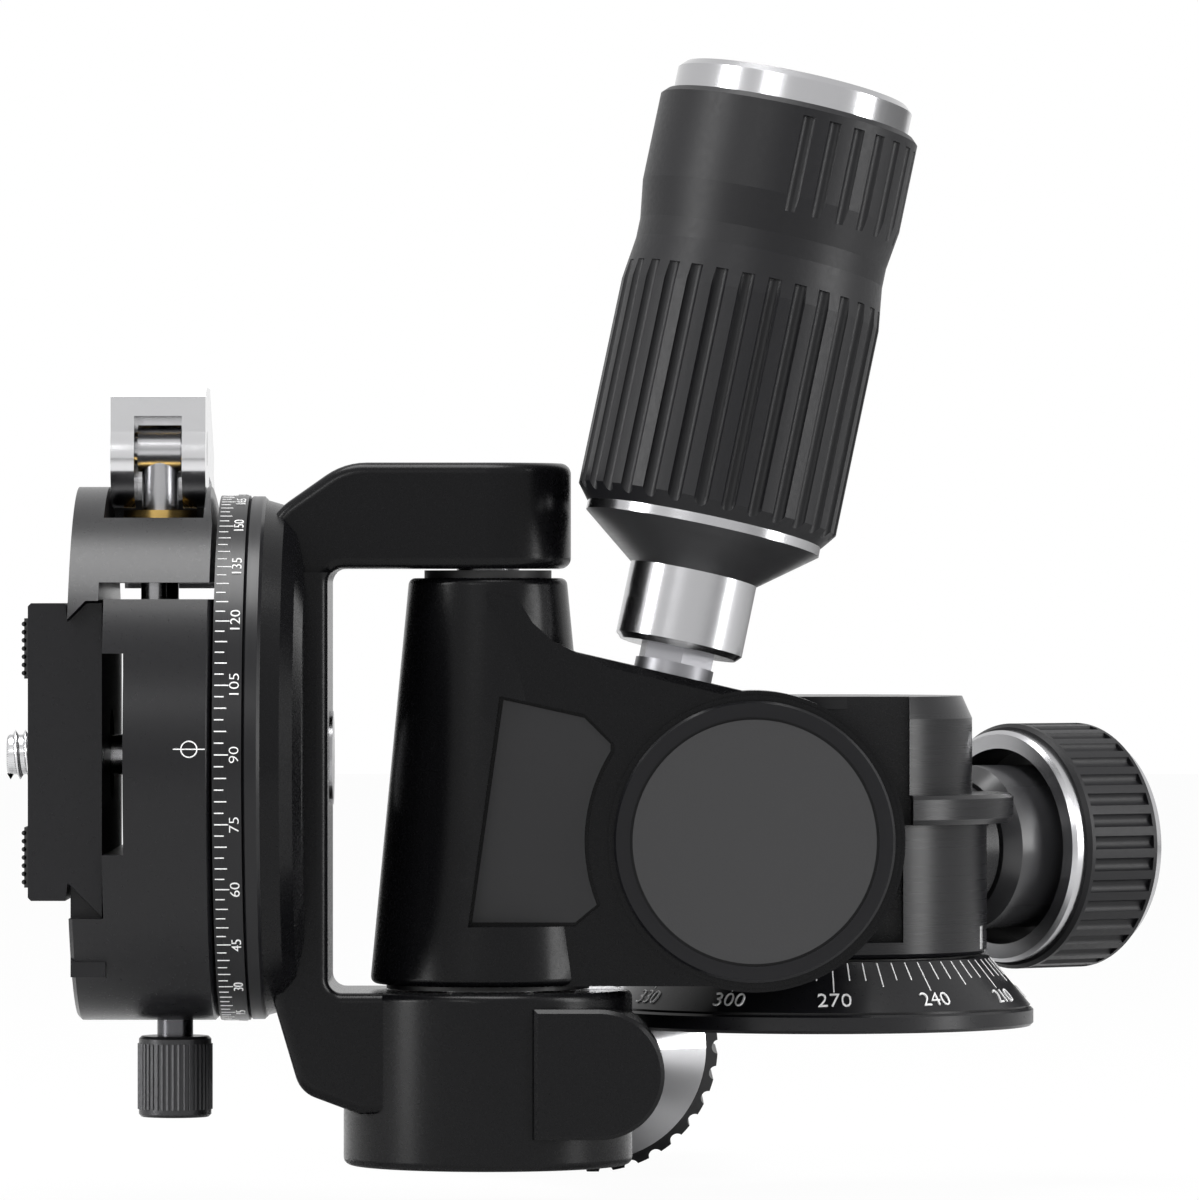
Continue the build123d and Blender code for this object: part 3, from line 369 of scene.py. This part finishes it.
# Scale ring and mount disc of the clamp, turned and anodised. The axle, its washer and its screw are steel.
# White marks every 2.5 degrees run round the ring, with numbers that read upwards at the front.
clamp_point = (0, side_y, pivot("clamp_turn").z)
clamp_turn = (0, math.pi / 2, 0)
ring_black = turned("black anodised, turned on the clamp axis", anodised, clamp_point, clamp_turn,
                    rough=(0.27, 0.32), rings=3000.0, bump=0.012, metallic=0.0, shine=0.27)
finish(ring_black, "mount_disc", "scale_ring")
axle_steel = turned("turned steel on the clamp axis", steel, clamp_point, clamp_turn)
finish(axle_steel, "clamp_axle", "axle_retainer", "axle_screw")
ring_radius = 0.0336
ring_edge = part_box("scale_ring")[0].x + 0.00025
ring_turn = 1.5
ring_step = 2.5
ring_mark_width = 0.00016
ring_mark_lengths = {"short": 0.00120, "middle": 0.00156, "long": 0.00180}
ring_figures = ring_edge + 0.00255
ring_figure_height = 0.00130
ring_figure_thick = 0.00020
ring_figure_stretch = Matrix.Diagonal((1.25, 1.0, 1.0, 1.0))


def ring_place(angle, x):
    """Place on the ring: X upwards round it, Y towards the camera plate, Z out of it."""
    out = Vector((0, -math.cos(angle), math.sin(angle)))
    along = Vector((0, math.sin(angle), math.cos(angle)))
    left = Vector((-1, 0, 0))
    turn = Matrix((along, left, along.cross(left))).transposed().to_4x4()
    return Matrix.Translation(Vector(clamp_point) + out * ring_radius + Vector((x, 0, 0))) @ turn


ring_print = []
ring_marks = {}
for kind, length in ring_mark_lengths.items():
    ring_marks[kind] = stroke(ring_mark_width, length, ink_thick)
for index in range(round(360 / ring_step)):
    degrees = index * ring_step
    kind = "long" if degrees % 15 == 0 else "middle" if degrees % 5 == 0 else "short"
    angle = math.radians(degrees - 90 + ring_turn)
    mark_x = ring_edge + ring_mark_lengths[kind] / 2
    ring_print.append(copy_at(ring_marks[kind], ring_place(angle, mark_x)))
    if kind == "long":
        figure = number(str(int(degrees)), ring_figure_height, ring_figure_thick)
        figure.data.transform(ring_place(angle, ring_figures) @ ring_figure_stretch)
        ring_print.append(figure)
for mark in ring_marks.values():
    bpy.data.objects.remove(mark)
joined(ring_print, "clamp_scale", ink_white, "yoke_frame")

# Clamp body and jaw, turned and milled from aluminium, anodised black, with steel pins inside.
# A line through a small circle on the body points at the scale.
finish(black_anodised, "clamp_body", "sliding_jaw")
drawbar_point = (-0.0848, side_y, 0)
thumb_point = (pivot("thumbscrew_turn").x, side_y, 0)
lever_point = (0, side_y, pivot("lever_swing").z)
finish(turned("turned steel upright in the clamp", steel, drawbar_point, (0, 0, 0)), "drawbar", "guide_pins")
finish(turned("pivot pin steel", steel, lever_point, clamp_turn), "lever_pivot_pin")
finish(turned("brass rod", brass, thumb_point, (0, 0, 0)), "clamp_lock_rod")
pointer_angle = 2.7
pointer_x = -0.0797
pointer_place = ring_place(math.radians(pointer_angle), pointer_x)
pointer = stroke(width=0.00014, length=0.0040, thick=ink_thick)
pointer.data.transform(pointer_place)
bpy.ops.object.select_all(action="DESELECT")
bpy.ops.mesh.primitive_torus_add(major_radius=0.00100, minor_radius=0.00008,
                                 major_segments=32, minor_segments=6)
pointer_ring = bpy.context.object
pointer_ring.data.transform(pointer_place)
joined([pointer, pointer_ring], "clamp_index", ink_white, "clamp")

# Brass saddle under the cam, which takes the wear of clamping.
# The cam lever itself is cast; its bright metal colour all over is a painted highlight.
finish(turned("brass saddle", brass, drawbar_point, (0, 0, 0), rough=(0.2, 0.3)), "cam_saddle")
# Bright metal colour on the lever: a painted highlight.
lever_painted_highlight = coated("lever painted bright as a highlight", (0.58, 0.58, 0.59),
                      rough=(0.12, 0.16), fineness=900.0, bump=0.005, metallic=1.0)
finish(lever_painted_highlight, "cam_lever")

# Thumbscrew of the clamp: a small knurled knob of blackened metal on a threaded steel stud.
# The straight knurl is a ring of fine ribs round the knob.


def rod(sides, radius, length):
    """A rod standing on Z, its middle at the origin."""
    bpy.ops.object.select_all(action="DESELECT")
    bpy.ops.mesh.primitive_cylinder_add(vertices=sides, radius=radius, depth=length)
    return bpy.context.object


def knurl(rib, count, radius, place):
    """Copies of a rib in a ring about Z, the whole ring then put in its place."""
    ribs = []
    for index in range(count):
        angle = 2 * math.pi * index / count
        spot = Matrix.Translation((radius * math.cos(angle), radius * math.sin(angle), 0))
        ribs.append(copy_at(rib, place @ spot))
    bpy.data.objects.remove(rib)
    return ribs


thumb_steel = turned("blackened steel of the thumbscrew", (0.08, 0.08, 0.085), thumb_point, (0, 0, 0))
finish(thumb_steel, "thumbscrew_stud")
knurl_black = coated("blackened knurled knob", (0.03, 0.03, 0.032),
                     rough=(0.28, 0.36), fineness=2500.0, bump=0.08, metallic=0.5)
finish(knurl_black, "thumbscrew_knob")
knob_level = -0.00552
knob_middle = Matrix.Translation((thumb_point[0], side_y, knob_level))
knob_rib = rod(sides=6, radius=0.00028, length=0.0084)
knob_ribs = knurl(knob_rib, count=40, radius=0.00457, place=knob_middle)
joined(knob_ribs, "thumbscrew_ribs", knurl_black, "thumbscrew")

# Quick-release plate, milled from aluminium and anodised, with small steel stop screws.
# Two ribbed rubber strips keep the camera from turning on it.
finish(black_anodised, "plate")
pad_rubber = coated("ribbed pad rubber", (0.012, 0.012, 0.012),
                    rough=(0.6, 0.7), fineness=1200.0, bump=0.3)
finish(pad_rubber, "plate_strips")
finish(turned("stop screw steel", steel, (0, 0, 0), clamp_turn), "plate_stop_screws")
strip_low, strip_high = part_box("plate_strips")
strip_face = strip_low.x - 0.00002
strip_width = 0.0076
rib_inset = 0.0007
rib_pitch = 0.00103
ribs_per_strip = 7
strip_rib = rod(sides=8, radius=0.00032, length=strip_high.y - strip_low.y)
strip_rib.data.transform(Matrix.Rotation(math.pi / 2, 4, "X"))
strip_ribs = []
for low in (strip_low.z, strip_high.z - strip_width):
    for index in range(ribs_per_strip):
        spot = Vector((strip_face, side_y, low + rib_inset + rib_pitch * index))
        strip_ribs.append(copy_at(strip_rib, Matrix.Translation(spot)))
bpy.data.objects.remove(strip_rib)
joined(strip_ribs, "plate_strip_ribs", pad_rubber, "release_plate")

# Camera screw: steel, with a rolled thread of 1.27 mm pitch on a slimmer core, and a knurled head.
# The thread is a small V wound round the core, so this piece stands in for the plain solid.
screw_tip, screw_tail = (corner.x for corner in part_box("camera_screw"))
screw_z = pivot("camera_screw_turn").z
core_radius = 0.00255
thread_radius = 0.00268
thread_height = 0.00052
thread_pitch = 0.00127
thread_start = screw_tip + 0.0004
head_radius = 0.0056
head_start = -0.0939
head_end = -0.0920
tail_radius = 0.0026
lengthwise = Matrix.Rotation(math.pi / 2, 4, "Y")
# The screw's steel is lighter than the other steel: real bright steel with a painted highlight added, for a
# screw that sits in the clamp's shade.
screw_steel_painted_highlight = turned("turned steel of the camera screw", (0.6, 0.6, 0.61), (0, side_y, screw_z), clamp_turn)


def on_screw(x):
    """Place on the screw's axis: Z along it."""
    return Matrix.Translation((x, side_y, screw_z)) @ lengthwise


bpy.ops.object.select_all(action="DESELECT")
bpy.ops.mesh.primitive_circle_add(vertices=3, radius=thread_height)
thread = bpy.context.object
upright = Matrix.Rotation(math.pi / 2, 4, "X") @ Matrix.Rotation(-math.pi / 2, 4, "Z")
thread.data.transform(Matrix.Translation((thread_radius, 0, 0)) @ upright)
winding = thread.modifiers.new("winding", "SCREW")
winding.axis = "Z"
winding.angle = 2 * math.pi
winding.screw_offset = thread_pitch
winding.iterations = 3
winding.steps = 32
winding.render_steps = 32
bpy.ops.object.modifier_apply(modifier="winding")
thread.data.transform(on_screw(thread_start))
screw_pieces = [thread]
screw_sections = (
    (core_radius, screw_tip, head_start),
    (head_radius, head_start, head_end),
    (tail_radius, head_end, screw_tail),
)
for radius, start, end in screw_sections:
    section = rod(sides=48, radius=radius, length=end - start)
    break_edges(0.0003)
    section.data.transform(on_screw((start + end) / 2))
    screw_pieces.append(section)
head_rib = rod(sides=6, radius=0.00034, length=0.0015)
head_middle = on_screw((head_start + head_end) / 2)
screw_pieces += knurl(head_rib, count=36, radius=0.00552, place=head_middle)
camera_screw = joined(screw_pieces, "camera_screw_threaded", screw_steel_painted_highlight, "mounting_screw")
bpy.ops.object.mode_set(mode="EDIT")
bpy.ops.mesh.select_all(action="SELECT")
bpy.ops.mesh.normals_make_consistent(inside=False)
bpy.ops.object.mode_set(mode="OBJECT")
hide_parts("camera_screw")

# Lock handles: cores and end caps turned from aluminium and left bright, grips of ribbed rubber.
# The tilt lock's cone is dark in its middle, between the bright collar and the bright band.
silver = (0.44, 0.44, 0.45)
grip_rubber = coated("ribbed grip rubber", (0.005, 0.005, 0.006),
                     rough=(0.4, 0.48), fineness=1500.0, bump=0.08, shine=0.25)
finish(grip_rubber, "tilt_lock_grip", "side_lock_grip", "pan_knob_grip")


def lathe_place(name):
    """Where a handle is turned: the point on its axis, and the axis as a turn from Z."""
    return tuple(pivot(name)), tuple(direction(name).to_track_quat("Z", "Y").to_euler())


for name in ("tilt_lock", "side_lock"):
    point, turn = lathe_place(name + "_turn")
    words = name.replace("_", " ")
    bright = turned("bright turned metal of the " + words, silver, point, turn,
                    rough=(0.16, 0.2), rings=4500.0, bump=0.015)
    finish(bright, name + "_core", name + "_cap")
    stud_steel = turned("turned steel of the " + words, (0.2, 0.2, 0.21), point, turn, rough=(0.36, 0.42))
    finish(stud_steel, name + "_stud")
dark = turned("dark cone of the tilt lock", (0.05, 0.05, 0.052), *lathe_place("tilt_lock_turn"),
              rough=(0.3, 0.36), rings=3000.0, bump=0.03, metallic=0.6)
dark_from = 0.0100
dark_to = 0.0152
tilt_core = solids["tilt_lock_core"].data
tilt_core.materials.append(dark)
for face in tilt_core.polygons:
    along = (Vector(face.center) - pivot("tilt_lock_turn")).dot(direction("tilt_lock_turn"))
    if dark_from < along < dark_to:
        face.material_index = 1

# Pan knob: short, cupped, with a bright ring at each end of its rubber tyre. Its hub is dark.
# Its stud runs through the pan body to the brake shoe.
finish(turned("bright rings of the pan knob", silver, knob_point, knob_turn), "pan_knob_cap")
knob_dark = turned("dark turned hub of the pan knob", (0.03, 0.03, 0.032), knob_point, knob_turn,
                   metallic=0.0)
finish(knob_dark, "pan_knob_core")
knob_silver = turned("bright ring of the pan knob core", silver, knob_point, knob_turn)
ring_face = 0.0311
ring_bore = 0.0131
knob_core = solids["pan_knob_core"].data
knob_core.materials.append(knob_silver)
for face in knob_core.polygons:
    offset = Vector(face.center) - Vector(knob_point)
    along = offset.dot(knob_axis)
    if along > ring_face and (offset - knob_axis * along).length > ring_bore:
        face.material_index = 1
finish(turned("turned steel of the pan lock", steel, knob_point, knob_turn), "pan_knob_stud")

# Pale floor, soft studio lamps and a white surround, as in a product photograph.
# The floor keeps a little of the head's shadow, and metal mirrors the white.
floor_level = -0.0222
floor_glow = 0.97
air_strength = 0.16
white = (1.0, 1.0, 1.0, 1.0)


def looked_at(nodes, links):
    """The light path, and a node that is 1 where the camera looks straight or through glass."""
    rays = nodes.new("ShaderNodeLightPath")
    seen = nodes.new("ShaderNodeMath")
    seen.operation = "MAXIMUM"
    links.new(rays.outputs["Is Camera Ray"], seen.inputs[0])
    links.new(rays.outputs["Is Transmission Ray"], seen.inputs[1])
    return rays, seen


bpy.ops.object.select_all(action="DESELECT")
bpy.ops.mesh.primitive_plane_add(size=6.0, location=(0, 0, 0))
floor = bpy.context.object
floor.name = "floor"
floor.data.transform(Matrix.Translation((0, 0, floor_level)))
paper = bpy.data.materials.new("white paper floor")
paper.use_nodes = True
nodes, links = paper.node_tree.nodes, paper.node_tree.links
skin = nodes["Principled BSDF"]
skin.inputs["Base Color"].default_value = (0.8, 0.8, 0.8, 1.0)
skin.inputs["Roughness"].default_value = 0.9
glow = nodes.new("ShaderNodeEmission")
glow.inputs["Color"].default_value = white
glow.inputs["Strength"].default_value = 1.0
rays, seen = looked_at(nodes, links)
share = nodes.new("ShaderNodeMath")
share.operation = "MULTIPLY"
share.inputs[1].default_value = floor_glow
blend = nodes.new("ShaderNodeMixShader")
links.new(seen.outputs["Value"], share.inputs[0])
links.new(share.outputs["Value"], blend.inputs["Fac"])
links.new(skin.outputs["BSDF"], blend.inputs[1])
links.new(glow.outputs["Emission"], blend.inputs[2])
links.new(blend.outputs["Shader"], nodes["Material Output"].inputs["Surface"])
floor.data.materials.append(paper)

world = bpy.data.worlds.new("white surround")
bpy.context.scene.world = world
world.use_nodes = True
nodes, links = world.node_tree.nodes, world.node_tree.links
air = nodes["Background"]
air.inputs["Color"].default_value = white
air.inputs["Strength"].default_value = air_strength
sheet = nodes.new("ShaderNodeBackground")
sheet.inputs["Color"].default_value = white
sheet.inputs["Strength"].default_value = 1.0
rays, seen = looked_at(nodes, links)
mirrored = nodes.new("ShaderNodeMath")
mirrored.operation = "MAXIMUM"
blend = nodes.new("ShaderNodeMixShader")
links.new(seen.outputs["Value"], mirrored.inputs[0])
links.new(rays.outputs["Is Glossy Ray"], mirrored.inputs[1])
links.new(mirrored.outputs["Value"], blend.inputs["Fac"])
links.new(air.outputs["Background"], blend.inputs[1])
links.new(sheet.outputs["Background"], blend.inputs[2])
links.new(blend.outputs["Shader"], nodes["World Output"].inputs["Surface"])

middle = Vector((-0.0285, -0.02, 0.05))
lamps = (
    ("left lamp", (-0.8, -0.35, 0.15), (0.22, 1.1), 9.0),
    ("right lamp", (0.75, -0.25, 0.2), (0.22, 1.0), 8.0),
    ("top lamp", (-0.1, -0.1, 0.95), (0.7, 0.4), 9.0),
    ("front lamp", (-0.5, -1.4, 0.7), (0.5, 0.3), 4.0),
)
for name, spot, size, power in lamps:
    data = bpy.data.lights.new(name, "AREA")
    data.shape = "RECTANGLE"
    data.size = size[0]
    data.size_y = size[1]
    data.energy = power
    lamp = bpy.data.objects.new(name, data)
    lamp.location = spot
    lamp.rotation_euler = (middle - Vector(spot)).to_track_quat("-Z", "Y").to_euler()
    bpy.context.collection.objects.link(lamp)

# Camera: level with the head's middle and far off, as the nearly parallel edges in the photograph show.
# Its lens takes in 154 mm at the head, so 7.8 pixels of the photograph are a millimetre.
film_height = 36.0
view_distance = 1218.0
view_height = 153.85
lens = bpy.data.cameras.new("camera")
lens.sensor_fit = "VERTICAL"
lens.sensor_height = film_height
lens.lens = film_height * view_distance / view_height
lens.clip_start = 0.1
lens.clip_end = 10.0
eye = bpy.data.objects.new("camera", lens)
eye.location = (middle.x, side_y - view_distance / 1000, 0.0555)
eye.rotation_euler = (math.pi / 2, 0, 0)
bpy.context.collection.objects.link(eye)
bpy.context.scene.camera = eye
bpy.context.scene.view_settings.view_transform = "Standard"
